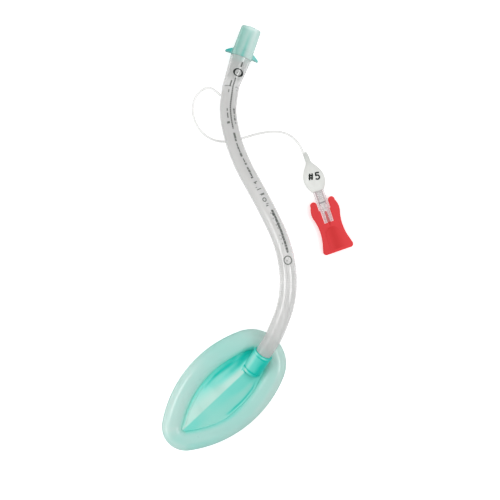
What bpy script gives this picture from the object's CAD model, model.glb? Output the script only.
import math
import bpy
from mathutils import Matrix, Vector


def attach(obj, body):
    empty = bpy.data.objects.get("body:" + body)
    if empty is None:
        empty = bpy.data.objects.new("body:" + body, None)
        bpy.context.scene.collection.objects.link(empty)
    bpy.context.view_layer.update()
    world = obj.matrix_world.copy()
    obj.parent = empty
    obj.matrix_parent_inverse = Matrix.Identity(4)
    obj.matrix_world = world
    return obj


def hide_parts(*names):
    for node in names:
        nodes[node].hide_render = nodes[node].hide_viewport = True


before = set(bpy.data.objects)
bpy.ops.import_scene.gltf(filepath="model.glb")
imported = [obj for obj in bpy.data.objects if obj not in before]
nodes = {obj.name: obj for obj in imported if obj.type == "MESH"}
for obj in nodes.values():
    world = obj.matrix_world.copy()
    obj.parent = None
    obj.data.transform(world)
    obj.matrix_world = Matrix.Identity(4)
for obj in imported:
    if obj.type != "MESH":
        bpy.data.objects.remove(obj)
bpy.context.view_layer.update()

mm = 0.001               # the scene is in metres, the settings below are in millimetres


# camera: looks straight down, as the photograph does
cameraSettings = {
    "height": 750.0,
    "middle": (15.0, -8.3),
    "field": 377.5,      # width of table that the picture takes in
    "sensor": 36.0,
}


def addCamera(s):
    data = bpy.data.cameras.new("camera")
    data.sensor_width = s["sensor"]
    data.lens = s["sensor"] * s["height"] / s["field"]
    data.clip_start = 0.01
    data.clip_end = 20.0
    camera = bpy.data.objects.new("camera", data)
    camera.location = (s["middle"][0] * mm, s["middle"][1] * mm, s["height"] * mm)
    bpy.context.scene.collection.objects.link(camera)
    bpy.context.scene.camera = camera


addCamera(cameraSettings)
print("camera set")


# lines and meshes
def toMetres(point):
    return Vector(point) * mm


def addCurve(name, points, radius=0.0):
    data = bpy.data.curves.new(name, "CURVE")
    data.dimensions = "3D"
    data.resolution_u = 24
    data.bevel_depth = radius * mm
    data.bevel_resolution = 6
    data.use_fill_caps = True
    spline = data.splines.new("NURBS")
    spline.points.add(len(points) - 1)
    for target, point in zip(spline.points, points):
        target.co = (*toMetres(point), 1.0)
    spline.order_u = 3
    spline.use_endpoint_u = True
    curve = bpy.data.objects.new(name, data)
    bpy.context.scene.collection.objects.link(curve)
    return curve


def smoothLine(points):
    curve = addCurve("line_guide", points)
    bpy.context.view_layer.update()
    graph = bpy.context.evaluated_depsgraph_get()
    mesh = bpy.data.meshes.new_from_object(curve.evaluated_get(graph))
    line = [vertex.co / mm for vertex in mesh.vertices]
    bpy.data.meshes.remove(mesh)
    bpy.data.objects.remove(curve)
    return line


def evenly(line, step):
    # points an even step apart along a line, with their distance from its start
    result = [(0.0, line[0].copy())]
    done = 0.0
    wanted = step
    for a, b in zip(line, line[1:]):
        span = (b - a).length
        while span > 0 and done + span >= wanted:
            result.append((wanted, a.lerp(b, (wanted - done) / span)))
            wanted += step
        done += span
    if done - result[-1][0] > 0.2 * step:
        result.append((done, line[-1].copy()))
    else:
        result[-1] = (done, line[-1].copy())
    return result


def frameLine(stations):
    # (distance, point, tangent, side, top) at each station; top is as near up as it can be
    result = []
    last = len(stations) - 1
    for i, (distance, point) in enumerate(stations):
        tangent = (stations[min(i + 1, last)][1] - stations[max(i - 1, 0)][1]).normalized()
        side = tangent.cross(Vector((0, 0, 1))).normalized()
        result.append((distance, point, tangent, side, side.cross(tangent)))
    return result


def ringFaces(ringCount, around, closed=False, flip=False):
    faces = []
    for i in range(ringCount if closed else ringCount - 1):
        first = i * around
        second = ((i + 1) % ringCount) * around
        for k in range(around):
            nextK = (k + 1) % around
            face = (first + k, first + nextK, second + nextK, second + k)
            faces.append(face[::-1] if flip else face)
    return faces


def capFaces(count, around):
    # the first and the last ring of a closed tube with count vertices
    return [tuple(range(around))[::-1], tuple(range(count - around, count))]


def gridFaces(rowCount, width, start=0, flip=False):
    faces = []
    for i in range(rowCount - 1):
        for k in range(width - 1):
            a = start + i * width + k
            face = (a, a + width, a + width + 1, a + 1)
            faces.append(face[::-1] if flip else face)
    return faces


def addMesh(name, vertices, faces, attributes=None, sharpAngle=None):
    # vertices in millimetres
    mesh = bpy.data.meshes.new(name)
    mesh.from_pydata([toMetres(v) for v in vertices], [], faces)
    mesh.shade_smooth()
    for key, values in (attributes or {}).items():
        layer = mesh.attributes.new(key, "FLOAT", "POINT")
        layer.data.foreach_set("value", values)
    if sharpAngle:
        mesh.set_sharp_from_angle(angle=math.radians(sharpAngle))
    obj = bpy.data.objects.new(name, mesh)
    bpy.context.scene.collection.objects.link(obj)
    return obj


def addModifier(obj, kind, **values):
    modifier = obj.modifiers.new(kind.lower(), kind)
    for key, value in values.items():
        setattr(modifier, key, value)
    return modifier


def bakeModifiers(obj):
    # turn an object and its modifiers into one plain mesh
    bpy.context.view_layer.update()
    graph = bpy.context.evaluated_depsgraph_get()
    mesh = bpy.data.meshes.new_from_object(obj.evaluated_get(graph))
    obj.modifiers.clear()
    obj.data = mesh
    return obj


def ramp(value, low, high):
    # 0 below low, 1 above high, smooth between
    t = min(max((value - low) / (high - low), 0.0), 1.0)
    return t * t * (3 - 2 * t)


def between(table, place):
    # value of a piecewise smooth table of (place, value)
    if place <= table[0][0]:
        return table[0][1]
    for (a, va), (b, vb) in zip(table, table[1:]):
        if place <= b:
            return va + (vb - va) * ramp(place, a, b)
    return table[-1][1]


def settle(obj, material, slotName, *replaced):
    # material, slot, body and the CAD nodes that a new piece stands for
    obj.data.materials.clear()
    obj.data.materials.append(material)
    if replaced:
        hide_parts(*replaced)
    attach(obj, "root")
    return obj


# shader groups
def newGroup(name, inputs, outputs):
    group = bpy.data.node_groups.new(name, "ShaderNodeTree")
    for socketName, kind, value in inputs:
        socket = group.interface.new_socket(socketName, in_out="INPUT", socket_type=kind)
        socket.default_value = value
    for socketName, kind in outputs:
        group.interface.new_socket(socketName, in_out="OUTPUT", socket_type=kind)
    return group, group.nodes.new("NodeGroupInput"), group.nodes.new("NodeGroupOutput")


def addNode(tree, kind, **values):
    node = tree.nodes.new(kind)
    for key, value in values.items():
        setattr(node, key, value)
    return node


def feed(tree, socket, value):
    # a plain value stands on the socket itself
    if isinstance(value, (int, float, tuple)):
        socket.default_value = value
    else:
        tree.links.new(value, socket)


def addMath(tree, operation, a, b=0.0):
    node = addNode(tree, "ShaderNodeMath", operation=operation)
    feed(tree, node.inputs[0], a)
    feed(tree, node.inputs[1], b)
    return node.outputs[0]


def addScaled(tree, factor, amount, base):
    return addMath(tree, "ADD", addMath(tree, "MULTIPLY", factor, amount), base)


def mixColors(tree, factor, a, b):
    mix = addNode(tree, "ShaderNodeMix", data_type="RGBA")
    feed(tree, mix.inputs["Factor"], factor)
    feed(tree, mix.inputs[6], a)
    feed(tree, mix.inputs[7], b)
    return mix.outputs[2]


def addNoise(tree, scale, detail):
    place = addNode(tree, "ShaderNodeTexCoord")
    texture = addNode(tree, "ShaderNodeTexNoise")
    texture.inputs["Detail"].default_value = detail
    tree.links.new(place.outputs["Object"], texture.inputs["Vector"])
    tree.links.new(scale, texture.inputs["Scale"])
    return texture.outputs["Fac"]


def addDrift(tree, scale, amount, base):
    # base, moved up and down by a broad noise
    centred = addMath(tree, "SUBTRACT", addNoise(tree, scale, 2.0), 0.5)
    return addScaled(tree, centred, amount, base)


def addRange(tree, value, low, high, kind="LINEAR", first=0.0, last=1.0):
    node = addNode(tree, "ShaderNodeMapRange", interpolation_type=kind)
    given = {"Value": value, "From Min": low, "From Max": high, "To Min": first, "To Max": last}
    for key, part in given.items():
        feed(tree, node.inputs[key], part)
    return node.outputs["Result"]


bumpDepth = 0.05 * mm
middleTone = 0.6         # painted tone at which the middle colour stands, pale at 0 and deep at 1


def makeToneGroup():
    # colour between pale and deep by the thickness painted on the mesh, with soft clouds in the silicone;
    # the glow painted beside it stands for light that comes through in the folds
    group, given, result = newGroup("siliconeTone", [
        ("Pale", "NodeSocketColor", (0.8, 0.9, 0.9, 1)),
        ("Middle", "NodeSocketColor", (0.4, 0.8, 0.7, 1)),
        ("Deep", "NodeSocketColor", (0.1, 0.6, 0.5, 1)),
        ("Clouds", "NodeSocketFloat", 0.1),
        ("Cloud Scale", "NodeSocketFloat", 60.0),
    ], [("Color", "NodeSocketColor"), ("Glow", "NodeSocketColor")])
    thickness = addNode(group, "ShaderNodeAttribute", attribute_name="thickness").outputs["Fac"]
    tone = addDrift(group, given.outputs["Cloud Scale"], given.outputs["Clouds"], thickness)
    paler = addRange(group, tone, 0.0, middleTone)
    deeper = addRange(group, tone, middleTone, 1.0)
    thin = mixColors(group, paler, given.outputs["Pale"], given.outputs["Middle"])
    color = mixColors(group, deeper, thin, given.outputs["Deep"])
    lit = addNode(group, "ShaderNodeAttribute", attribute_name="glow").outputs["Fac"]
    glow = mixColors(group, lit, (0.0, 0.0, 0.0, 1.0), color)
    group.links.new(color, result.inputs["Color"])
    group.links.new(glow, result.inputs["Glow"])
    return group


def makeGrainGroup():
    # fine surface grain of a moulded piece: a height and a roughness that drifts
    group, given, result = newGroup("mouldedGrain", [
        ("Scale", "NodeSocketFloat", 900.0),
        ("Roughness", "NodeSocketFloat", 0.3),
        ("Drift", "NodeSocketFloat", 0.08),
        ("Broad Scale", "NodeSocketFloat", 90.0),
    ], [("Height", "NodeSocketFloat"), ("Roughness", "NodeSocketFloat")])
    fine = addNoise(group, given.outputs["Scale"], 3.0)
    rough = addDrift(group, given.outputs["Broad Scale"], given.outputs["Drift"], given.outputs["Roughness"])
    group.links.new(fine, result.inputs["Height"])
    group.links.new(rough, result.inputs["Roughness"])
    return group


def makeTurnGroup():
    # faint ripple that the coil's turns leave in the skin over them
    group, given, result = newGroup("coilRipple", [
        ("Pitch", "NodeSocketFloat", 1.72),
        ("Grain", "NodeSocketFloat", 0.0),
        ("Grain Share", "NodeSocketFloat", 0.3),
    ], [("Height", "NodeSocketFloat")])
    along = addNode(group, "ShaderNodeAttribute", attribute_name="along").outputs["Fac"]
    coiled = addNode(group, "ShaderNodeAttribute", attribute_name="coiled").outputs["Fac"]
    turns = addMath(group, "DIVIDE", along, given.outputs["Pitch"])
    wave = addMath(group, "SINE", addMath(group, "MULTIPLY", turns, 2 * math.pi))
    kept = addMath(group, "MULTIPLY", wave, coiled)
    height = addScaled(group, given.outputs["Grain"], given.outputs["Grain Share"], kept)
    group.links.new(height, result.inputs["Height"])
    return group


def makeStripeGroup():
    # soft stripe at a distance across from a line, kept between two places along it, in metres
    group, given, result = newGroup("softStripe", [
        ("Origin", "NodeSocketVector", (0, 0, 0)),
        ("Across", "NodeSocketVector", (1, 0, 0)),
        ("Along", "NodeSocketVector", (0, 1, 0)),
        ("Middle", "NodeSocketFloat", 0.0),
        ("Width", "NodeSocketFloat", 0.001),
        ("Start", "NodeSocketFloat", 0.0),
        ("End", "NodeSocketFloat", 0.01),
        ("Strength", "NodeSocketFloat", 1.0),
    ], [("Mask", "NodeSocketFloat")])
    place = addNode(group, "ShaderNodeTexCoord")
    offset = addNode(group, "ShaderNodeVectorMath", operation="SUBTRACT")
    group.links.new(place.outputs["Object"], offset.inputs[0])
    group.links.new(given.outputs["Origin"], offset.inputs[1])
    distances = []
    for key in ("Across", "Along"):
        dot = addNode(group, "ShaderNodeVectorMath", operation="DOT_PRODUCT")
        group.links.new(offset.outputs["Vector"], dot.inputs[0])
        group.links.new(given.outputs[key], dot.inputs[1])
        distances.append(dot.outputs["Value"])
    away = addMath(group, "SUBTRACT", distances[0], given.outputs["Middle"])
    apart = addMath(group, "ABSOLUTE", away)
    beside = addRange(group, apart, 0.0, given.outputs["Width"], "SMOOTHSTEP", 1.0, 0.0)
    within = addRange(group, distances[1], given.outputs["Start"], given.outputs["End"], "SMOOTHSTEP")
    both = addMath(group, "MULTIPLY", beside, within)
    mask = addMath(group, "MULTIPLY", both, given.outputs["Strength"])
    group.links.new(mask, result.inputs["Mask"])
    return group


toneGroup = makeToneGroup()
stripeGroup = makeStripeGroup()
grainGroup = makeGrainGroup()
turnGroup = makeTurnGroup()


def placeGroup(material, group, values):
    node = material.node_tree.nodes.new("ShaderNodeGroup")
    node.node_tree = group
    for key, value in values.items():
        node.inputs[key].default_value = value
    return node


def grain(scale, roughness, drift, broadScale):
    return {"Scale": scale, "Roughness": roughness, "Drift": drift, "Broad Scale": broadScale}


def tones(pale, middle, deep, clouds, cloudScale):
    colors = {"Pale": (*pale, 1), "Middle": (*middle, 1), "Deep": (*deep, 1)}
    return {**colors, "Clouds": clouds, "Cloud Scale": cloudScale}


def makeMaterial(name, look):
    # shader values stand on the shader itself; tone, grain and coil come from the groups
    material = bpy.data.materials.new(name)
    material.use_nodes = True
    tree = material.node_tree
    shader = tree.nodes["Principled BSDF"]
    for key, value in look["shader"].items():
        shader.inputs[key].default_value = value
    color = tuple(shader.inputs["Base Color"].default_value)
    alpha = shader.inputs["Alpha"].default_value
    if "tone" in look:
        tone = placeGroup(material, toneGroup, look["tone"])
        color = tone.outputs["Color"]
        tree.links.new(tone.outputs["Glow"], shader.inputs["Emission Color"])
    if "veil" in look:         # how milky each wall is, painted on the mesh
        veil = addNode(tree, "ShaderNodeAttribute", attribute_name="veil")
        alpha = veil.outputs["Fac"]
    if "edge" in look:         # clear plastic looks denser where it is seen edge on
        facing = addNode(tree, "ShaderNodeLayerWeight")
        facing.inputs["Blend"].default_value = look["edge"]["blend"]
        alpha = addScaled(tree, facing.outputs["Facing"], look["edge"]["more"], alpha)
    for stripe in look.get("stripes", []):
        mask = placeGroup(material, stripeGroup, stripe["place"]).outputs["Mask"]
        color = mixColors(tree, mask, color, stripe["color"])
        if "more" in stripe:
            alpha = addScaled(tree, mask, stripe["more"], alpha)
    if not isinstance(color, tuple):
        tree.links.new(color, shader.inputs["Base Color"])
    if not isinstance(alpha, float):
        tree.links.new(addMath(tree, "MINIMUM", alpha, 1.0), shader.inputs["Alpha"])
    surface = placeGroup(material, grainGroup, look["grain"])
    tree.links.new(surface.outputs["Roughness"], shader.inputs["Roughness"])
    bump = addNode(tree, "ShaderNodeBump")
    bump.inputs["Strength"].default_value = look["bump"]
    bump.inputs["Distance"].default_value = bumpDepth
    height = surface.outputs["Height"]
    if "coil" in look:
        ripple = placeGroup(material, turnGroup, look["coil"])
        tree.links.new(height, ripple.inputs["Grain"])
        height = ripple.outputs["Height"]
    tree.links.new(height, bump.inputs["Height"])
    tree.links.new(bump.outputs["Normal"], shader.inputs["Normal"])
    return material


print("shader groups ready")


# mask outline: an egg of four tangent arcs, as the part is drawn
maskSettings = {
    "length": 111.6,
    "halfWidth": 31.5,
    "tipRadius": 18.0,
    "heelRadius": 26.0,
    "sideRadius": 89.2,
    "angle": 43.7,
    "middle": (-5.5, -113.9),
}


def eggCentres(s):
    half = s["length"] / 2
    tip = Vector((s["tipRadius"] - half, 0))
    heel = Vector((half - s["heelRadius"], 0))
    tipReach = s["sideRadius"] - s["tipRadius"]
    heelReach = s["sideRadius"] - s["heelRadius"]
    span = heel.x - tip.x
    x = (span ** 2 + tipReach ** 2 - heelReach ** 2) / (2 * span)
    side = Vector((tip.x + x, -math.sqrt(tipReach ** 2 - x ** 2)))
    return tip, heel, side


tipCentre, heelCentre, sideCentre = eggCentres(maskSettings)
heelTurn = math.atan2(-sideCentre.y, heelCentre.x - sideCentre.x)
tipTurn = math.atan2(-sideCentre.y, tipCentre.x - sideCentre.x)


def eggPoint(turn, inset):
    # point of the outline moved in by inset, where the outward normal stands at turn, 0 to 2 pi from the heel
    sign = 1 if turn <= math.pi else -1
    folded = turn if turn <= math.pi else 2 * math.pi - turn
    if folded < heelTurn:
        centre, radius = heelCentre, maskSettings["heelRadius"]
    elif folded < tipTurn:
        centre, radius = sideCentre, maskSettings["sideRadius"]
    else:
        centre, radius = tipCentre, maskSettings["tipRadius"]
    outward = Vector((math.cos(folded), math.sin(folded)))
    point = centre + outward * (radius - inset)
    return Vector((point.x, sign * point.y))


def eggTurns(heelSteps, sideSteps, tipSteps):
    half = [heelTurn * i / heelSteps for i in range(heelSteps)]
    half += [heelTurn + (tipTurn - heelTurn) * i / sideSteps for i in range(sideSteps)]
    half += [tipTurn + (math.pi - tipTurn) * i / tipSteps for i in range(tipSteps + 1)]
    return half + [2 * math.pi - turn for turn in reversed(half[1:-1])]


maskTurn = math.radians(maskSettings["angle"])
maskAlong = Vector((math.cos(maskTurn), math.sin(maskTurn), 0))
maskAcross = Vector((-math.sin(maskTurn), math.cos(maskTurn), 0))
maskMiddle = Vector((*maskSettings["middle"], 0))


def maskPoint(x, y, z):
    return maskMiddle + maskAlong * x + maskAcross * y + Vector((0, 0, z))


def toMask(point):
    offset = Vector(point) - maskMiddle
    return Vector((offset.dot(maskAlong), offset.dot(maskAcross), offset.z))


# inflated cuff
cuffSettings = {
    "width": 16.5,
    "height": 16.0,
    "wall": 0.9,
    "fullness": 2.25,        # 2 is an ellipse, more is squarer
    "around": 40,
    "turnSteps": (16, 60, 18),           # at the heel, the side and the tip of each half
    "seam": 0.16,            # parting line round the outside
    "seamWidth": 0.10,
    "seamTone": (0.10, 0.8),             # strength, width
    "dimple": 0.11,
    "waves": [(3, 0.6, 1.0), (7, 2.0, 0.6)],     # waves round the mask, phase, share of the dimple
    "halves": (4.0, 7.0),    # inset over which the outer tone turns into the inner one
    "foldReach": 3.2,
    "foldHeight": (5.0, 8.0),
    "foldGlow": (0.10, 12.0, 15.8),      # strength, then the inset where it starts and is full
    # tones of the two halves, where the fold's darkening starts and its depth, by degrees from the heel
    "outerTone": [
        (0, 0), (20, 0), (40, 0.08), (60, 0.16), (80, 0.3), (100, 0.08), (120, 0.05), (140, 0),
        (160, 0.08), (180, 0.15), (200, 0.12), (220, 0.18), (240, 0.36), (260, 0.24), (280, 0.08),
        (300, 0.05), (320, 0.05), (340, 0.06), (360, 0),
    ],
    "innerTone": [
        (0, 0.1), (20, 0.08), (40, 0.1), (60, 0.2), (80, 0.28), (100, 0.18), (120, 0.12), (140, 0.06),
        (160, 0.16), (180, 0.24), (200, 0.27), (240, 0.23), (260, 0.3), (280, 0.25), (300, 0.18),
        (320, 0.12), (340, 0.05), (360, 0.1),
    ],
    "foldStart": [
        (0, 12), (20, 12), (40, 10.6), (60, 11.8), (80, 13.5), (100, 13.8), (120, 13), (160, 13),
        (200, 13.4), (220, 13), (240, 12), (260, 11), (280, 12.5), (300, 13.6), (320, 13), (360, 12),
    ],
    "foldTone": [
        (0, 0.4), (20, 0.5), (40, 0.85), (60, 0.85), (80, 0.6), (100, 0.55), (120, 0.35), (140, 0.3),
        (160, 0.3), (180, 0.4), (200, 0.5), (240, 0.6), (260, 0.65), (280, 0.5), (300, 0.7), (320, 0.5),
        (340, 0.2), (360, 0.4),
    ],
    "look": {
        "shader": {"IOR": 1.41, "Subsurface Weight": 0.35, "Subsurface Radius": (0.6, 1.0, 0.9),
                   "Subsurface Scale": 0.004, "Coat Weight": 0.5, "Coat Roughness": 0.10,
                   "Emission Strength": 1.0},
        "tone": tones((0.53, 0.76, 0.69), (0.22, 0.69, 0.60), (0.02, 0.50, 0.43), 0.14, 40.0),
        "grain": grain(1500.0, 0.30, 0.10, 70.0),
        "bump": 0.08,
    },
}


def cuffSection(angle, grow):
    # inset from the outline and height of the cuff's skin; angle 0 is outside, 90 degrees is on top
    s = cuffSettings
    power = 2 / s["fullness"]
    c, n = math.cos(angle), math.sin(angle)
    reach = s["width"] / 2 - grow
    rise = s["height"] / 2 - grow
    out = math.copysign(abs(c) ** power, c) * reach
    up = math.copysign(abs(n) ** power, n) * rise
    return s["width"] / 2 - out, s["height"] / 2 + up


def cuffTone(turn, inset, height):
    s = cuffSettings
    degrees = math.degrees(turn)
    tone = between(s["outerTone"], degrees)
    tone += (between(s["innerTone"], degrees) - tone) * ramp(inset, *s["halves"])
    start = between(s["foldStart"], degrees)
    fold = ramp(inset, start, start + s["foldReach"]) * ramp(height, *s["foldHeight"])
    tone += (between(s["foldTone"], degrees) - tone) * fold
    seam, width = s["seamTone"]
    return tone + seam * math.exp(-(inset / width) ** 2)


def makeCuff():
    s = cuffSettings
    turns = eggTurns(*s["turnSteps"])
    shine, shineStart, shineFull = s["foldGlow"]
    vertices, faces, thickness, glow = [], [], [], []
    for grow, flip in ((0.0, False), (s["wall"], True)):
        start = len(vertices)
        for turn in turns:
            swell = s["dimple"] * sum(share * math.sin(n * turn + phase) for n, phase, share in s["waves"])
            for k in range(s["around"]):
                angle = 2 * math.pi * k / s["around"]
                inset, height = cuffSection(angle, grow)
                if grow == 0.0:
                    inset -= s["seam"] * math.exp(-(math.sin(angle / 2) * 2 / s["seamWidth"]) ** 2)
                inset = max(inset, 0.0)
                height += swell * max(math.sin(angle), 0.0)
                point = eggPoint(turn, inset)
                vertices.append(maskPoint(point.x, point.y, min(height, s["height"])))
                thickness.append(cuffTone(turn, inset, height))
                glow.append(shine * ramp(inset, shineStart, shineFull))
        shell = ringFaces(len(turns), s["around"], closed=True, flip=flip)
        faces += [tuple(start + v for v in face) for face in shell]
    obj = addMesh("cuff_skin", vertices, faces, {"thickness": thickness, "glow": glow})
    addModifier(obj, "SUBSURF", levels=1, render_levels=1)
    return settle(obj, makeMaterial("cuffSilicone", s["look"]), "teal_cuff_silicone", "inflatable_cuff")


makeCuff()
print("cuff made")


# airway tube
tubeRoute = [
    (16.8, -96.4, 17.5),
    (25.3, -83.1, 23.6),
    (33.0, -70.6, 28.4),
    (43.5, -42.2, 34.7),
    (41.2, -8.9, 34.2),
    (27.1, 22.2, 29.0),
    (5.9, 60.2, 19.5),
    (-2.2, 92.2, 11.5),
]
coilPitch = 1.72
tubeSettings = {
    "mouth": (8.3, 135.4, 8.2),
    "sleeveYaw": 70.3,
    "sleeveLength": 19.5,
    "bend": 3.5,
    "outer": 12.6,
    "inner": 9.0,
    "sleeveOuter": 15.8,
    "around": 56,
    "step": 1.0,
    "edge": 0.35,            # rounding of the cut ends
    "veil": (0.42, 0.22),    # how milky the outer skin and the bore's wall are
    "coilFrom": (24.0, 27.0),            # from the mouth, where the coil's ripple begins
    "coilTo": (3.0, 1.0),    # from the far end, where it stops
    "look": {
        "shader": {"Base Color": (0.74, 0.74, 0.73, 1), "IOR": 1.41,
                   "Coat Weight": 1.0, "Coat Roughness": 0.10, "Coat IOR": 2.0},
        "veil": True,
        "grain": grain(1300.0, 0.24, 0.08, 60.0),
        "coil": {"Pitch": coilPitch, "Grain Share": 0.25},
        "bump": 0.09,
    },
}


def sleeveWay(s):
    yaw = math.radians(s["sleeveYaw"])
    return Vector((math.cos(yaw), math.sin(yaw), 0))


def tubePoints(s):
    way = sleeveWay(s)
    mouth = Vector(s["mouth"])
    bend = mouth - way * (s["sleeveLength"] + s["bend"])
    back = (Vector(tubeRoute[-1]) - bend).normalized()
    return [*tubeRoute, bend + back * s["bend"], bend, bend + way * s["bend"], mouth]


fineLine = smoothLine(tubePoints(tubeSettings))
tubeLine = frameLine(evenly(fineLine[::-1], tubeSettings["step"]))
tubeLength = tubeLine[-1][0]


def flare(along, wall):
    # radius at a distance from the mouth; wall is added inside
    s = tubeSettings
    slope = (s["sleeveOuter"] - s["outer"]) / 2 / s["sleeveLength"]
    return s["outer"] / 2 - wall + slope * max(s["sleeveLength"] - along, 0.0)


def tubeAt(along):
    # middle, side, top and tangent of the tube at a distance from the mouth
    index = min(max(along / tubeSettings["step"], 0.0), len(tubeLine) - 1.001)
    here = tubeLine[int(index)]
    after = tubeLine[int(index) + 1]
    middle, side, top = (here[k].lerp(after[k], index - int(index)) for k in (1, 3, 4))
    return middle, side, top, here[2]


def onTube(along, across, lift):
    # point of the tube's skin at a distance from the mouth and, seen from above, across to the left
    middle, side, top, tangent = tubeAt(along)
    radius = flare(along, 0.0) + lift
    lean = math.asin(max(-0.99, min(0.99, across / radius)))
    return middle + (side * math.sin(lean) + top * math.cos(lean)) * radius


def makeTube():
    s = tubeSettings
    wall = (s["outer"] - s["inner"]) / 2
    rings = []
    edge = s["edge"]
    for i, (along, point, tangent, side, top) in enumerate(tubeLine):
        shrink = edge if i in (0, len(tubeLine) - 1) else 0.0
        rings.append((along, point, side, top, flare(along, 0.0) - shrink, s["veil"][0]))
        if i == 0:
            shifted = point + tangent * edge
            rings.append((along, shifted, side, top, flare(along, 0.0), s["veil"][0]))
    for i in range(len(tubeLine) - 1, -1, -1):
        along, point, tangent, side, top = tubeLine[i]
        extra = edge if i in (0, len(tubeLine) - 1) else 0.0
        rings.append((along, point, side, top, flare(along, wall) + extra, s["veil"][1]))
    vertices, along, coiled, veil = [], [], [], []
    stop = [tubeLength - margin for margin in s["coilTo"]]
    for distance, point, side, top, radius, milk in rings:
        for k in range(s["around"]):
            angle = 2 * math.pi * k / s["around"]
            vertices.append(point + (side * math.sin(angle) + top * math.cos(angle)) * radius)
            along.append(distance)
            coiled.append(ramp(distance, *s["coilFrom"]) * (1 - ramp(distance, *stop)))
            veil.append(milk)
    faces = ringFaces(len(rings), s["around"], closed=True, flip=True)
    painted = {"along": along, "coiled": coiled, "veil": veil}
    obj = addMesh("tube_skin", vertices, faces, painted, sharpAngle=50)
    return settle(obj, makeMaterial("clearSilicone", s["look"]), "clear_silicone", "airway_tube")


makeTube()
print("airway tube made, length %.1f mm" % tubeLength)


# steel coil in the tube's wall
coilSettings = {
    "middle": 10.9,
    "wire": 0.5,
    "pitch": coilPitch,
    "start": 26.5,           # from the mouth
    "endMargin": 1.5,
    "steps": 22,
    "around": 6,
    "look": {
        "shader": {"Base Color": (0.72, 0.72, 0.71, 1), "Metallic": 0.1, "Specular IOR Level": 0.2},
        "grain": grain(2500.0, 0.50, 0.10, 200.0),
        "bump": 0.05,
    },
}


def makeCoil():
    s = coilSettings
    finish = tubeLength - s["endMargin"]
    count = int((finish - s["start"]) / s["pitch"] * s["steps"])
    centres = []
    for i in range(count + 1):
        middle, side, top, tangent = tubeAt(s["start"] + s["pitch"] * i / s["steps"])
        angle = 2 * math.pi * i / s["steps"]
        outward = side * math.sin(angle) + top * math.cos(angle)
        centres.append((middle + outward * s["middle"] / 2, outward, tangent))
    vertices = []
    for centre, outward, tangent in centres:
        for k in range(s["around"]):
            angle = 2 * math.pi * k / s["around"]
            vertices.append(centre + (outward * math.cos(angle) + tangent * math.sin(angle)) * s["wire"] / 2)
    faces = ringFaces(len(centres), s["around"]) + capFaces(len(vertices), s["around"])
    obj = addMesh("coil_wire", vertices, faces)
    return settle(obj, makeMaterial("coilSteel", s["look"]), "coil_steel", "reinforcing_coil")


makeCoil()
print("steel coil made")


# inflation line, a free cord
lineSettings = {
    "diameter": 1.8,
    "length": 143.5,
    "look": {
        "shader": {"Base Color": (0.90, 0.90, 0.89, 1), "IOR": 1.41, "Alpha": 0.62,
                   "Coat Weight": 0.2, "Coat Roughness": 0.15},
        "grain": grain(1500.0, 0.32, 0.05, 120.0),
        "bump": 0.05,
    },
}
lineRoute = [
    (-7.0, 106.8, 9.3),
    (-10.5, 110.5, 9.0),
    (-16.2, 113.5, 7.4),
    (-22.7, 111.1, 4.6),
    (-27.3, 104.8, 2.2),
    (-28.6, 96.2, 0.95),
    (-26.2, 87.0, 0.95),
    (-20.4, 79.0, 0.95),
    (-12.2, 74.0, 0.95),
    (-2.6, 73.0, 0.95),
    (7.8, 75.4, 0.95),
    (18.2, 78.7, 0.95),
    (28.6, 80.9, 0.95),
    (38.6, 80.9, 0.95),
    (46.4, 77.6, 1.1),
    (51.2, 72.4, 2.9),
    (54.0, 67.6, 4.3),
    (56.2, 61.4, 4.3),
]
inflationLine = addCurve("inflation_line_soft", lineRoute, lineSettings["diameter"] / 2)
settle(inflationLine, makeMaterial("lineSilicone", lineSettings["look"]), "line_silicone", "inflation_line")
print("inflation line laid")


# balloon, valve and tag share an axis
pilotSettings = {"origin": (66.0, 36.7, 4.3), "turn": -70.7}
pilotTurn = math.radians(pilotSettings["turn"])
pilotAlong = Vector((math.cos(pilotTurn), math.sin(pilotTurn), 0))
pilotAcross = Vector((-math.sin(pilotTurn), math.cos(pilotTurn), 0))


def pilotPoint(x, y, z):
    return Vector(pilotSettings["origin"]) + pilotAlong * x + pilotAcross * y + Vector((0, 0, z))


balloonSettings = {
    # place along the axis, half width, half height
    "stations": [
        (-30.0, 0.98, 0.98), (-29.0, 1.15, 1.12), (-27.2, 1.55, 1.50), (-25.0, 1.70, 1.60),
        (-23.0, 1.60, 1.50), (-21.8, 1.95, 1.75), (-20.6, 2.60, 2.20), (-17.0, 5.10, 3.30),
        (-12.8, 7.10, 4.05), (-8.2, 7.75, 4.22), (-3.4, 6.70, 4.20), (-0.6, 5.20, 4.10), (0.5, 4.70, 4.00),
    ],
    "mouth": 3.6,
    "mouthDepth": 5.8,
    "lip": (0.15, 0.5, 0.4),             # rounded rim: how far out, and past the mouth in width and height
    "step": 0.35,
    "around": 64,
    "weld": 0.28,
    "weldWidth": 0.09,
    "weldTone": 2.0,
    "neckTone": (0.6, 19.0, 24.0),       # tone of the neck, and where the balloon turns into it
    "look": {
        "shader": {"IOR": 1.41, "Coat Weight": 0.15, "Coat Roughness": 0.2},
        "tone": tones((0.80, 0.81, 0.78), (0.68, 0.70, 0.67), (0.60, 0.62, 0.60), 0.25, 130.0),
        "grain": grain(1600.0, 0.42, 0.08, 150.0),
        "bump": 0.15,
    },
}


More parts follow.
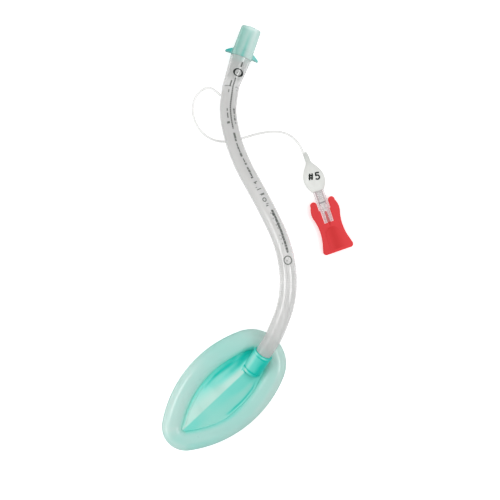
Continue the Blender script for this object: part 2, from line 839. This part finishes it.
def balloonSize(x):
    # smooth half width and half height through the stations
    rows = balloonSettings["stations"]
    i = 0
    while i < len(rows) - 2 and x > rows[i + 1][0]:
        i += 1
    sizes = []
    for column in (1, 2):
        def slope(k):
            k = min(max(k, 1), len(rows) - 2)
            return (rows[k + 1][column] - rows[k - 1][column]) / (rows[k + 1][0] - rows[k - 1][0])
        span = rows[i + 1][0] - rows[i][0]
        t = (x - rows[i][0]) / span
        a, b = rows[i][column], rows[i + 1][column]
        value = a * (1 + 2 * t) * (1 - t) ** 2 + b * t * t * (3 - 2 * t)
        value += span * (slope(i) * t * (1 - t) ** 2 - slope(i + 1) * t * t * (1 - t))
        sizes.append(value)
    return sizes


def makeBalloon():
    s = balloonSettings
    first, last = s["stations"][0][0], s["stations"][-1][0]
    count = int((last - first) / s["step"])
    rings = []
    for i in range(count + 1):
        x = first + (last - first) * i / count
        width, height = balloonSize(x)
        rings.append((x, width, height, 1.0))
    out, wider, higher = s["lip"]
    rings.append((last + out, s["mouth"] + wider, s["mouth"] + higher, 0.0))
    rings.append((last, s["mouth"], s["mouth"], 0.0))
    rings.append((last - s["mouthDepth"], s["mouth"], s["mouth"], 0.0))
    neck, neckFrom, neckTo = s["neckTone"]
    vertices, thickness = [], []
    for x, width, height, welded in rings:
        for k in range(s["around"]):
            angle = 2 * math.pi * k / s["around"]
            ridge = s["weld"] * welded * math.exp(-(math.sin(angle) / s["weldWidth"]) ** 2)
            vertices.append(pilotPoint(x, (width + ridge) * math.cos(angle), height * math.sin(angle)))
            thickness.append(min(ridge * s["weldTone"] + ramp(-x, neckFrom, neckTo) * neck, 1.0))
    faces = ringFaces(len(rings), s["around"]) + capFaces(len(vertices), s["around"])
    obj = addMesh("balloon_skin", vertices, faces, {"thickness": thickness}, sharpAngle=50)
    return settle(obj, makeMaterial("balloonSilicone", s["look"]), "frosted_silicone", "pilot_balloon")


makeBalloon()
print("pilot balloon made")


# ridged backplate with its socket
plateSettings = {
    "inset": 15.2,
    "rim": 12.4,
    "wall": 1.8,
    "flange": 0.4,           # lip under the cuff
    "flangeDepth": 1.6,
    "edgeGlow": (0.05, 1.6),             # strength, width
    "fall": 0.72,            # how straight the dome falls from the keel, the rest of it is curved
    "step": 0.8,             # the dome's edge stands this much over the cuff
    "ridge": [(-41, 14.4), (-20, 16.4), (0, 18.6), (22, 21), (41, 22.4)],
    "bead": 0.55,
    "beadWidth": 2.4,
    "shoulder": 3.2,
    "shoulderPlace": (31.0, 8.2),
    "shoulderReach": (6.5, 2.6),
    "shoulderRoom": 4.0,     # the shoulders fade this near the leaf's edge
    # how far the leaf's edges stand to the right of an even leaf, by the place along the mask
    "leftLean": [
        (-40, 0), (-36, 1.4), (-24, 1.35), (-18, 1.2), (-12, 0.95), (-6, 1), (0, 1.5), (12, 1.6),
        (18, 1.5), (24, 1.2), (30, 0.6), (36, 0.2),
    ],
    "rightLean": [
        (-40, 0), (-36, 0.4), (-30, 0.75), (-24, 1.25), (-18, 1.75), (-12, 1.8), (-6, 1.4), (0, 1),
        (18, 0.8), (24, -0.2), (30, -1.3), (36, -0.8), (40, 0),
    ],
    "alongSteps": 150,
    "acrossSteps": 88,
    # socket outline: place along its axis from the tube's end, radius
    "socket": [
        (-3.0, 4.0), (-2.3, 6.2), (-1.6, 6.9), (0.3, 7.15), (0.6, 6.85), (1.1, 6.85), (1.4, 7.25),
        (13.6, 7.15), (14.0, 6.95), (14.4, 6.95), (14.8, 7.25), (16.0, 7.30), (16.4, 7.0), (16.4, 6.45),
    ],
    # tones of the silicone as it is seen from above, 0 pale to 1 deep, by the place along the mask
    "wedgeStart": [(-24, 4), (-18, 3.5), (-6, 2.5), (0, 2.1), (24, 2)],
    "wedgeEnd": [(-24, 12), (-18, 13), (-6, 12.5), (0, 9.6), (6, 7.4), (24, 6.8)],
    "leftTone": [
        (-24, 0.34), (-18, 0.42), (-12, 0.46), (-6, 0.58), (0, 0.55), (6, 0.58), (12, 0.68), (18, 0.83),
        (24, 0.94), (28, 0.8),
    ],
    "leftReturn": [(0, 0), (6, 0.08), (12, 0.08), (18, 0.14), (24, 0.2), (28, 0)],
    "rightTone": [
        (-30, 0.57), (-24, 0.5), (-18, 0.45), (-12, 0.48), (0, 0.57), (6, 0.61), (18, 0.62), (24, 0.74),
    ],
    "rightRim": [(-18, 0.36), (-12, 0.38), (0, 0.43), (12, 0.4), (18, 0.42), (24, 0.6)],
    "rimStart": [(0.0, 3.0), (12.0, 7.0)],
    "leftLine": [(-36, 0.3), (-24, 0.45), (-12, 0.62), (0, 0.72), (24, 0.76)],
    "rightLine": [(-36, 0.7), (-24, 0.8), (0, 0.74), (12, 0.68), (24, 0.5)],
    "leftStreak": [(-12, 0), (-6, 0.72), (0, 0.86), (6, 1), (18, 1), (24, 0.9), (27, 0.8)],
    "rightStreak": [(-14, 0), (-6, 0.8), (0, 0.95), (12, 0.88), (18, 0.86), (24, 0.68)],
    "leftStreakPlace": [(-6.0, 3.0), (0.0, 2.4), (6.0, 2.1), (24.0, 2.2)],     # inside the leaf's edge
    "leftStreakWidth": [(-6.0, 0.9), (0.0, 1.05), (6.0, 1.3), (12.0, 1.5)],
    "deeps": [(30.5, 8.2, 6.5, 2.3), (37, 8.4, 5, 1.9), (30.5, -7.3, 5, 2.2), (36, -5.6, 4, 1.6)],
    "keelBlend": (-0.7, 0.9),
    "keelTone": 0.03,
    "returnLine": (9.5, 1.4),            # paler line in the left facet: place across, width
    "rimEnd": 10.3,
    "edgeLine": 0.8,         # width
    "rightStreakLine": (2.7, 1.0),       # inside the leaf's edge, width
    "collar": {
        "start": -3.1,
        "radius": (5.4, 8.0),            # least and most distance from the axis
        "mouth": (16.2, 6.8),            # past this place, or within this radius, it is all deep
        "tone": 0.76,
        "rightMore": (0.18, -1.5, 4.0),
        # bright spots: strength, place and reach along, place and reach across
        "spots": [(0.42, 8.0, 1000.0, 4.8, 1.3), (0.40, -0.6, 1.0, 4.5, 1.8), (0.45, 15.4, 0.8, -2.2, 2.2)],
        "rings": [(0.60, 0.85), (0.10, -2.6), (0.25, 14.3)],       # strength, place
        "ringWidth": 0.6,
    },
    "sharpAngle": 38,
    "seat": 6.32,
    "airway": 4.5,
    "look": {
        "shader": {"IOR": 1.41, "Specular IOR Level": 0.22, "Subsurface Weight": 0.15,
                   "Subsurface Radius": (0.5, 1.0, 0.9), "Subsurface Scale": 0.001,
                   "Coat Weight": 0.15, "Coat Roughness": 0.12, "Emission Strength": 1.0},
        "tone": tones((0.47, 0.72, 0.645), (0.19, 0.69, 0.60), (0.0, 0.52, 0.43), 0.06, 60.0),
        "grain": grain(1500.0, 0.34, 0.08, 80.0),
        "bump": 0.08,
    },
}


def leafHalfWidth(x):
    # half width of the dome at a place along the mask
    inset = plateSettings["inset"]
    low, high = 0.0, math.pi
    for _ in range(40):
        turn = (low + high) / 2
        if eggPoint(turn, inset).x > x:
            low = turn
        else:
            high = turn
    return max(eggPoint(turn, inset).y, 0.02)


socketStart = toMask(tubeRoute[0])
socketWay = (toMask(tubeRoute[1]) - socketStart).normalized()


def socketAcross(x, y):
    # distance to the left of the socket's axis, seen from above
    return y - socketStart.y - (x - socketStart.x) * socketWay.y / socketWay.x


def leafEdge(x, y):
    # distance from the keel to the leaf's edge, on the side of the keel where y lies
    s = plateSettings
    inside = min(max(x, -40.5), 40.5)
    lean = -between(s["leftLean"], x) if y > 0 else between(s["rightLean"], x)
    return max(leafHalfWidth(inside) + lean, 0.02)


def domeHeight(x, y, halfWidth):
    s = plateSettings
    edge = s["rim"] + s["step"]
    share = min(abs(y) / halfWidth, 1.0)
    peak = between(s["ridge"], x)
    height = edge + (peak - edge) * (1 - s["fall"] * share - (1 - s["fall"]) * share ** 2)
    toEdge = halfWidth - abs(y)
    if toEdge < s["beadWidth"]:
        height += s["bead"] * math.sin(math.pi * toEdge / s["beadWidth"]) ** 2
    room = ramp(toEdge, 0.0, s["shoulderRoom"])
    dx = (x - s["shoulderPlace"][0]) / s["shoulderReach"][0]
    for sign in (1, -1):
        dy = (socketAcross(x, y) - sign * s["shoulderPlace"][1]) / s["shoulderReach"][1]
        height += s["shoulder"] * room * math.exp(-dx * dx - dy * dy)
    return height


def bell(value, middle, width, power=2):
    return math.exp(-((value - middle) / width) ** power)


def collarTone(place, away, across):
    s = plateSettings["collar"]
    if place > s["mouth"][0] or away < s["mouth"][1]:
        return 1.0
    more, start, end = s["rightMore"]
    tone = s["tone"] + more * ramp(-across, start, end)
    for strength, middle, reach, side, sideReach in s["spots"]:
        tone -= strength * bell(place, middle, reach) * bell(across, side, sideReach)
    for strength, middle in s["rings"]:
        tone += strength * bell(place, middle, s["ringWidth"])
    return tone


def plateTone(point):
    # how deep the silicone looks from above, by its place on the mask
    s = plateSettings
    local = toMask(point)
    x, y = local.x, local.y
    facet = ramp(y, between(s["wedgeStart"], x), between(s["wedgeEnd"], x))
    left = s["keelTone"] + (between(s["leftTone"], x) - s["keelTone"]) * facet
    left -= between(s["leftReturn"], x) * bell(y, *s["returnLine"])
    tone = between(s["rightTone"], x)
    tone += (between(s["rightRim"], x) - tone) * ramp(-y, between(s["rimStart"], x), s["rimEnd"])
    tone += (left - tone) * ramp(y, *s["keelBlend"])
    toEdge = leafEdge(x, y) - abs(y)
    offset = local - socketStart
    place = offset.dot(socketWay)
    away = (offset - socketWay * place).length
    onCollar = place > s["collar"]["start"] and s["collar"]["radius"][0] < away < s["collar"]["radius"][1]
    if onCollar:
        tone = collarTone(place, away, socketAcross(x, y))
    elif toEdge < 8.0:
        middle, width = s["rightStreakLine"]
        depth = between(s["rightStreak"], x)
        if y > 0.0:
            middle, width, depth = (between(s["leftStreak" + key], x) for key in ("Place", "Width", ""))
        edgeDepth = between(s["leftLine"] if y > 0.0 else s["rightLine"], x)
        toEdge = max(toEdge, 0.0)
        tone += max(edgeDepth - tone, 0.0) * bell(toEdge, 0.0, s["edgeLine"])
        tone += max(depth - tone, 0.0) * bell(toEdge, middle, width)
    for middleX, middleY, reachX, reachY in s["deeps"]:
        tone += max(1.0 - tone, 0.0) * bell(x, middleX, reachX, 4) * bell(y, middleY, reachY, 4)
    return min(max(tone, 0.0), 1.0)


def makeDome():
    s = plateSettings
    tip = -maskSettings["length"] / 2 + s["inset"]
    heel = -tip
    rows = []
    for i in range(s["alongSteps"] + 1):
        x = tip + (heel - tip) * (1 - math.cos(math.pi * i / s["alongSteps"])) / 2
        inside = min(max(x, tip + 0.01), heel - 0.01)
        row = []
        for k in range(s["acrossSteps"] + 1):
            share = 2 * k / s["acrossSteps"] - 1
            halfWidth = leafEdge(inside, share)
            row.append((inside, halfWidth * share, halfWidth))
        rows.append(row)
    vertices = []
    width = s["acrossSteps"] + 1
    for lower in (0.0, 1.0):
        for row in rows:
            for x, y, halfWidth in row:
                height = domeHeight(x, y, halfWidth)
                if lower:
                    edge = ramp(halfWidth - abs(y), 0.0, s["wall"])
                    height = (s["rim"] - s["flangeDepth"]) * (1 - edge) + (height - s["wall"]) * edge
                    flange = max(leafHalfWidth(x) + s["flange"] - halfWidth, 0.0)
                    y += math.copysign(flange * (1 - edge), y)
                vertices.append(maskPoint(x, y, height))
    count = len(rows) * width
    faces = gridFaces(len(rows), width) + gridFaces(len(rows), width, count, flip=True)
    border = [i * width for i in range(len(rows))]
    border += [(len(rows) - 1) * width + k for k in range(1, width)]
    border += [i * width + width - 1 for i in range(len(rows) - 2, -1, -1)]
    border += list(range(width - 2, 0, -1))
    for a, b in zip(border, border[1:] + border[:1]):
        faces.append((b, a, count + a, count + b))
    return addMesh("plate_skin", vertices, faces)


def makeTurned(name, corners, around=72):
    # closed piece turned about the socket's axis from (place, radius)
    outline = [corners[0]]
    for a, b in zip(corners, corners[1:]):
        count = max(int(abs(b[0] - a[0]) / 0.5), 1)
        outline += [Vector(a).lerp(Vector(b), i / count) for i in range(1, count + 1)]
    start = Vector(tubeRoute[0])
    way = (Vector(tubeRoute[1]) - start).normalized()
    side = way.cross(Vector((0, 0, 1))).normalized()
    top = side.cross(way)
    vertices = []
    for place, radius in outline:
        for k in range(around):
            angle = 2 * math.pi * k / around
            vertices.append(start + way * place + (side * math.cos(angle) + top * math.sin(angle)) * radius)
    return addMesh(name, vertices, ringFaces(len(outline), around) + capFaces(len(vertices), around))


def makeBackplate():
    s = plateSettings
    plate = makeDome()
    socket = makeTurned("socket_form", s["socket"])
    airway, seat = s["airway"], s["seat"]
    bore = makeTurned("bore_form", [(-9.0, airway), (0.0, airway), (0.001, seat), (20.0, seat)])
    addModifier(plate, "BOOLEAN", operation="UNION", object=socket, solver="EXACT")
    addModifier(plate, "BOOLEAN", operation="DIFFERENCE", object=bore, solver="EXACT")
    bakeModifiers(plate)
    for tool in (socket, bore):
        bpy.data.objects.remove(tool)
    mesh = plate.data
    shine, width = s["edgeGlow"]
    painted = {"thickness": [], "glow": []}
    for vertex in mesh.vertices:
        point = vertex.co / mm
        local = toMask(point)
        toEdge = leafEdge(local.x, local.y) - abs(local.y)
        painted["thickness"].append(plateTone(point))
        painted["glow"].append(shine * (1 - ramp(toEdge, 0.0, width)))
    for key, values in painted.items():
        mesh.attributes.new(key, "FLOAT", "POINT").data.foreach_set("value", values)
    mesh.shade_smooth()
    mesh.set_sharp_from_angle(angle=math.radians(s["sharpAngle"]))
    return settle(plate, makeMaterial("plateSilicone", s["look"]), "teal_plate_silicone", "mask_backplate")


makeBackplate()
print("backplate made")


# printed marks on the tube: plain rings, lines and ticks, with no letters
printSettings = {
    "lift": 0.03,
    "line": (16.3, 59.0, -1.9, 1.15),        # from, to, across, width
    # along, across, half size across and along, stroke at the sides and at the ends
    "ring": (12.25, -2.2, 3.1, 2.6, 1.5, 0.65),
    "thinRing": (164.2, -0.9, 2.75, 2.85, 0.8, 0.75),
    # from, to, across, width
    "bars": [
        (4, 7.8, -2.8, 1), (19.2, 24.7, 0.3, 1.1), (27.2, 29.4, 0.7, 0.7), (42, 44, 0.5, 0.8),
        (45.4, 49.6, 0.4, 0.9), (52.3, 54, 0.6, 2.1), (41.8, 43.6, -4.4, 1.3), (43.9, 46.4, -4.5, 1),
        (47.6, 49, -4.3, 0.7), (49.6, 52, -4.4, 1.1), (53.4, 54.8, -4.5, 0.7), (61.9, 66.6, -1.8, 1.5),
        (66.8, 68.8, -1.6, 1.3), (70.4, 73.2, -1.5, 0.9), (73.5, 75.2, -1.5, 1.3),
        (75.5, 78.2, -1.6, 0.9), (78.6, 81.5, -1.6, 1.5), (83.2, 86.4, -1.9, 0.8), (87, 88.6, -2, 1.4),
        (90.6, 92.6, -1.9, 1.2), (92.9, 95, -2, 1.5), (95.3, 98.2, -1.9, 1.1), (98.5, 99.9, -1.5, 1.6),
        (103, 104.6, -1.6, 1.3), (103, 103.6, -2, 2.8), (107.2, 107.6, -0.6, 1.3),
        (109, 109.7, -1.8, 3.3), (113, 113.5, -2, 3.4), (113.5, 114.4, -2.3, 2.6), (121.2, 121.8, -2, 2),
        (122.4, 123.3, -1.4, 1.7), (127.2, 128.6, -3, 1.5), (129.4, 131.4, -2.6, 1.9),
        (132, 133.8, -3, 1.2), (134.2, 136.6, -2.6, 1.5), (137.4, 138.6, -2.6, 2),
        (139, 141.4, -2.5, 1.3), (141.8, 144.4, -2.6, 1.2), (144.8, 146.6, -2.4, 1.2),
        (147.4, 148.4, -2, 1.6), (148.8, 150.2, -2.1, 1.2), (151, 153, -2.1, 1.5),
        (153.8, 154.5, -2, 1.8), (155.6, 157, -2, 1.6), (157.6, 159.2, -2, 0.9),
    ],
    "small": [
        (128.4, -1.2), (132.6, -1), (137.8, -1), (140.2, -1.1), (145.6, -0.4), (148.2, -0.3),
        (151.6, -0.2),
    ],
    "girdle": [
        (24.3, -0.9, 4.5, 0.9), (24.3, -6.6, -3.4, 0.9), (23.4, -5.8, -4.2, 0.5), (26.6, -5.8, -4.6, 1),
    ],
    "hatch": (0.3, 1.2, 0.35, 0.85),         # from the line's start, kept from its end, slant, width
    "row": (126.8, 32, -2.9, 0.85, 24, 1.6),     # from, count, across, its drift over so many, width
    "oval": (118.0, -1.6, 1.1, 1.35, 0.7, 0.8),
    "dot": (1.1, 0.8),                       # length and width of the small marks
    "inRings": [(-0.2, 0.8, 0.5, 1.1), (-1.1, -0.7, -0.3, 0.7)],     # from, to, across, width
    "dark": ((0.014, 0.018, 0.017, 1), 1.0, 0.55),       # colour, alpha, roughness
    "faded": ((0.10, 0.11, 0.10, 1), 0.75, 0.6),
    "pale": ((0.16, 0.17, 0.16, 1), 0.45, 0.6),
}


def makeInk(name, color, alpha, roughness):
    return makeMaterial(name, {
        "shader": {"Base Color": color, "Specular IOR Level": 0.2, "Alpha": alpha},
        "grain": grain(2500.0, roughness, 0.1, 300.0),
        "bump": 0.05,
    })


class InkSheet:
    # collects thin patches of ink that lie on the tube's skin
    def __init__(self):
        self.vertices = []
        self.faces = []

    def patch(self, rows):
        # rows of (along, across) points, each row as long as the first
        start = len(self.vertices)
        for row in rows:
            for along, across in row:
                self.vertices.append(onTube(along, across, printSettings["lift"]))
        self.faces += gridFaces(len(rows), len(rows[0]), start, flip=True)

    def bar(self, begin, end, across, width):
        steps = max(int((end - begin) / 0.5), 1)
        places = [begin + (end - begin) * i / steps for i in range(steps + 1)]
        sides = [across + width * (k / 4 - 0.5) for k in range(5)]
        self.patch([[(place, side) for side in sides] for place in places])

    def ring(self, along, across, halfAcross, halfAlong, sideWidth, endWidth):
        # oval whose stroke is sideWidth at its left and right and endWidth at its two ends
        rows = []
        for i in range(65):
            angle = 2 * math.pi * i / 64
            width = endWidth + (sideWidth - endWidth) * math.cos(angle) ** 2
            row = []
            for out in (-width / 2, 0.0, width / 2):
                side = across + (halfAcross + out) * math.cos(angle)
                row.append((along + (halfAlong + out) * math.sin(angle), side))
            rows.append(row)
        self.patch(rows)

    def finish(self, name, material):
        obj = addMesh(name, self.vertices, self.faces)
        return settle(obj, material, "black_ink")


def makePrint():
    s = printSettings
    dark = InkSheet()
    faded = InkSheet()
    pale = InkSheet()
    begin, end, across, width = s["line"]
    pale.bar(begin, end, across, width)
    lead, rest, slant, wide = s["hatch"]
    hatch = begin + lead
    while hatch < end - rest:
        rows = []
        for i in range(4):
            along = hatch + i / 3
            rows.append([(along + slant * k, across + wide * (k - 0.5)) for k in (0.0, 0.5, 1.0)])
        faded.patch(rows)
        hatch += coilPitch
    for bar in s["bars"]:
        faded.bar(*bar)
    first, count, across, drift, over, width = s["row"]
    for i in range(count):
        pale.bar(first + i, first + i + 1, across + drift * ramp(i, 0, over), width)
    faded.ring(*s["oval"])
    length, width = s["dot"]
    for along, across in s["small"]:
        pale.bar(along, along + length, across, width)
    for along, first, last, width in s["girdle"]:
        steps = max(int((last - first) / 0.4), 1)
        sides = [first + (last - first) * k / steps for k in range(steps + 1)]
        pale.patch([[(along + width * j, side) for side in sides] for j in (-0.5, 0.5)])
    dark.ring(*s["ring"])
    faded.ring(*s["thinRing"])
    for ring in (s["ring"], s["thinRing"]):
        for begin, end, across, width in s["inRings"]:
            pale.bar(ring[0] + begin, ring[0] + end, ring[1] + across, width)
    dark.finish("print_dark", makeInk("inkDark", *s["dark"]))
    faded.finish("print_faded", makeInk("inkFaded", *s["faded"]))
    pale.finish("print_pale", makeInk("inkPale", *s["pale"]))


makePrint()
print("printed marks laid")


# size number on the balloon
numberSettings = {
    "place": -10.5,
    "across": 0.3,
    "tilt": -11.0,
    "tall": 4.9,
    "stroke": 1.15,
    "lift": 0.05,
    # place across, share of the height
    "strokes": [
        [(-3.7, 0.0), (-2.9, 1.0)], [(-1.9, 0.0), (-1.1, 1.0)],
        [(-4.3, 0.32), (-0.9, 0.32)], [(-4.0, 0.68), (-0.6, 0.68)],
        [(4.1, 1.0), (1.5, 1.0), (1.3, 0.56), (2.3, 0.64), (3.4, 0.58), (4.0, 0.38), (3.8, 0.14), (2.9, 0.0),
         (1.8, 0.0), (1.0, 0.14)],
    ],
}


def makeNumber():
    s = numberSettings
    tilt = math.radians(s["tilt"])
    vertices, faces = [], []
    for stroke in s["strokes"]:
        corners = [Vector((x, s["tall"] * share)) for x, share in stroke]
        fine = [a.lerp(b, i / 4) for a, b in zip(corners, corners[1:]) for i in range(4)] + corners[-1:]
        start = len(vertices)
        for i, point in enumerate(fine):
            way = (fine[min(i + 1, len(fine) - 1)] - fine[max(i - 1, 0)]).normalized()
            normal = Vector((-way.y, way.x)) * s["stroke"] / 2
            for k in (-1, 0, 1):
                u, v = point + normal * k
                v -= s["tall"] / 2
                across = s["across"] + u * math.cos(tilt) - v * math.sin(tilt)
                along = s["place"] - (u * math.sin(tilt) + v * math.cos(tilt))
                width, height = balloonSize(along)
                share = min(abs(across) / width, 0.98)
                vertices.append(pilotPoint(along, across, height * math.sqrt(1 - share ** 2) + s["lift"]))
        faces += gridFaces(len(fine), 3, start)
    obj = addMesh("size_number", vertices, faces)
    return settle(obj, makeInk("inkNumber", *printSettings["dark"]), "black_ink")


makeNumber()
print("size number laid")


# finishes of the pieces that keep their CAD shape
def stripeOn(origin, across, along):
    # stripe maker for one piece: middle, width, start and end in millimetres, then strength
    def stripe(middle, width, start, end, strength, color, more=None):
        place = {"Origin": toMetres(origin), "Across": across, "Along": along, "Middle": middle * mm,
                 "Width": width * mm, "Start": start * mm, "End": end * mm, "Strength": strength}
        made = {"place": place, "color": (*color, 1.0)}
        if more is not None:
            made["more"] = more
        return made
    return stripe


coneAlong = -sleeveWay(tubeSettings)
coneAcross = Vector((coneAlong.y, -coneAlong.x, 0))
mouthPoint = Vector(tubeSettings["mouth"])
coneStripe = stripeOn(mouthPoint, coneAcross, -coneAlong)
wingStripe = stripeOn(mouthPoint, -coneAlong, coneAcross)
valveStripe = stripeOn(pilotSettings["origin"], pilotAcross, pilotAlong)
gripStripe = stripeOn(pilotPoint(40.4, 0.0, 0.0), pilotAcross, Vector((0, 0, 1)))
keptLooks = {
    "connector_15mm": {
        "shader": {"Base Color": (0.58, 0.84, 0.79, 1), "IOR": 1.45, "Alpha": 0.50,
                   "Coat Weight": 0.3, "Coat Roughness": 0.05},
        "edge": {"blend": 0.35, "more": 0.35},
        "stripes": [
            coneStripe(5.6, 6.0, -30.0, -20.0, 0.85, (0.32, 0.68, 0.60)),
            coneStripe(-0.9, 1.9, 24.0, 8.0, 0.85, (0.24, 0.64, 0.56), 0.12),
            coneStripe(-0.5, 2.4, 9.0, 0.0, 0.60, (0.10, 0.52, 0.46), 0.20),
            coneStripe(-4.6, 2.4, -30.0, -20.0, 0.75, (0.84, 0.98, 0.95)),
            coneStripe(0.0, 40.0, -1.5, -4.5, 1.0, (0.66, 0.70, 0.68), -0.36),
            wingStripe(3.0, 12.0, 7.2, 8.4, 1.0, (0.02, 0.44, 0.40), 0.8),
            wingStripe(3.0, 12.0, -7.4, -9.0, 0.9, (0.12, 0.60, 0.55), 0.5),
        ],
        "grain": grain(1800.0, 0.16, 0.06, 120.0),
        "bump": 0.04,
    },
    "valve_body": {
        "shader": {"Base Color": (0.74, 0.70, 0.71, 1), "IOR": 1.49, "Alpha": 0.10,
                   "Coat Weight": 0.4, "Coat Roughness": 0.05},
        "edge": {"blend": 0.4, "more": 0.30},
        "stripes": [
            valveStripe(2.7, 1.0, -5.0, -1.0, 0.8, (0.44, 0.24, 0.28), 0.20),
            valveStripe(-2.6, 0.9, -5.0, -1.0, 0.8, (0.46, 0.25, 0.29), 0.20),
            valveStripe(0.9, 0.6, -5.0, -1.0, 0.5, (0.42, 0.28, 0.31), 0.10),
        ],
        "grain": grain(1800.0, 0.08, 0.05, 200.0),
        "bump": 0.03,
    },
    "red_tag": {
        "shader": {"Base Color": (0.78, 0.036, 0.042, 1), "IOR": 1.49, "Specular IOR Level": 0.3,
                   "Coat Weight": 0.08, "Coat Roughness": 0.2},
        "stripes": [gripStripe(0.0, 7.0, 0.95, 1.15, 1.0, (0.66, 0.016, 0.018))],
        "grain": grain(1400.0, 0.38, 0.10, 120.0),
        "bump": 0.15,
    },
    "valve_plunger": {
        "shader": {"Base Color": (0.88, 0.86, 0.84, 1)},
        "grain": grain(1800.0, 0.4, 0.06, 200.0),
        "bump": 0.05,
    },
    "valve_retainer": {
        "shader": {"Base Color": (0.86, 0.84, 0.83, 1)},
        "grain": grain(1800.0, 0.42, 0.06, 200.0),
        "bump": 0.05,
    },
    "valve_seal": {
        "shader": {"Base Color": (0.30, 0.28, 0.29, 1)},
        "grain": grain(1800.0, 0.6, 0.06, 200.0),
        "bump": 0.10,
    },
    "valve_spring": {
        "shader": {"Base Color": (0.80, 0.80, 0.79, 1), "Metallic": 0.4},
        "grain": grain(2500.0, 0.25, 0.08, 300.0),
        "bump": 0.04,
    },
}


def finishKept():
    for name, look in keptLooks.items():
        obj = nodes[name]
        material = makeMaterial(name + "_finish", look)
        if not obj.material_slots:
            obj.data.materials.append(material)
        for materialSlot in obj.material_slots:
            materialSlot.material = material


finishKept()
print("kept pieces finished")


# floor, lights and world
studioSettings = {
    "floorSize": 6.0,
    "floorColor": (0.90, 0.90, 0.90, 1),
    "floorGlow": 0.42,       # a lit table, so that the clear pieces are light from below too
    "floorMirrored": 0.35,   # what glossy edges pick up of the table, kept low so that outlines stay clear
    "world": 0.52,
    # name: place, size, watts
    "lights": {
        "leftHigh": ((-300, -60, 350), (190, 150), 0.42),
        "leftLow": ((-440, -260, 215), (280, 130), 0.55),
        "rightBox": ((420, -110, 570), (340, 190), 1.0),
        "overhead": ((350, 250, 900), (700, 700), 1.6),
    },
    "aim": (0, -20, 10),
}


def makeFloor(s):
    half = s["floorSize"] / 2
    corners = [(-half, -half, 0), (half, -half, 0), (half, half, 0), (-half, half, 0)]
    mesh = bpy.data.meshes.new("floor")
    mesh.from_pydata(corners, [], [(0, 1, 2, 3)])
    floor = bpy.data.objects.new("floor", mesh)
    bpy.context.scene.collection.objects.link(floor)
    material = bpy.data.materials.new("floorPaper")
    material.use_nodes = True
    tree = material.node_tree
    shader = tree.nodes["Principled BSDF"]
    values = {"Base Color": s["floorColor"], "Roughness": 0.9, "Specular IOR Level": 0.0,
              "Emission Color": (1, 1, 1, 1), "Emission Strength": s["floorGlow"]}
    for key, value in values.items():
        shader.inputs[key].default_value = value
    mirrored = addNode(tree, "ShaderNodeEmission")
    mirrored.inputs["Strength"].default_value = s["floorMirrored"]
    choose = addNode(tree, "ShaderNodeMixShader")
    tree.links.new(addNode(tree, "ShaderNodeLightPath").outputs["Is Glossy Ray"], choose.inputs[0])
    tree.links.new(shader.outputs[0], choose.inputs[1])
    tree.links.new(mirrored.outputs[0], choose.inputs[2])
    tree.links.new(choose.outputs[0], tree.nodes["Material Output"].inputs["Surface"])
    mesh.materials.append(material)


def addLight(name, place, size, watts, target):
    data = bpy.data.lights.new(name, "AREA")
    data.shape = "RECTANGLE"
    data.size = size[0] * mm
    data.size_y = size[1] * mm
    data.energy = watts
    light = bpy.data.objects.new(name, data)
    light.location = toMetres(place)
    light.rotation_euler = (toMetres(target) - light.location).to_track_quat("-Z", "Y").to_euler()
    bpy.context.scene.collection.objects.link(light)


def makeStudio(s):
    makeFloor(s)
    world = bpy.data.worlds.new("studio")
    world.use_nodes = True
    background = world.node_tree.nodes["Background"]
    background.inputs["Color"].default_value = (1, 1, 1, 1)
    background.inputs["Strength"].default_value = s["world"]
    bpy.context.scene.world = world
    for name, values in s["lights"].items():
        addLight(name, *values, s["aim"])
    bpy.context.scene.view_settings.view_transform = "Standard"


makeStudio(studioSettings)
print("studio set")
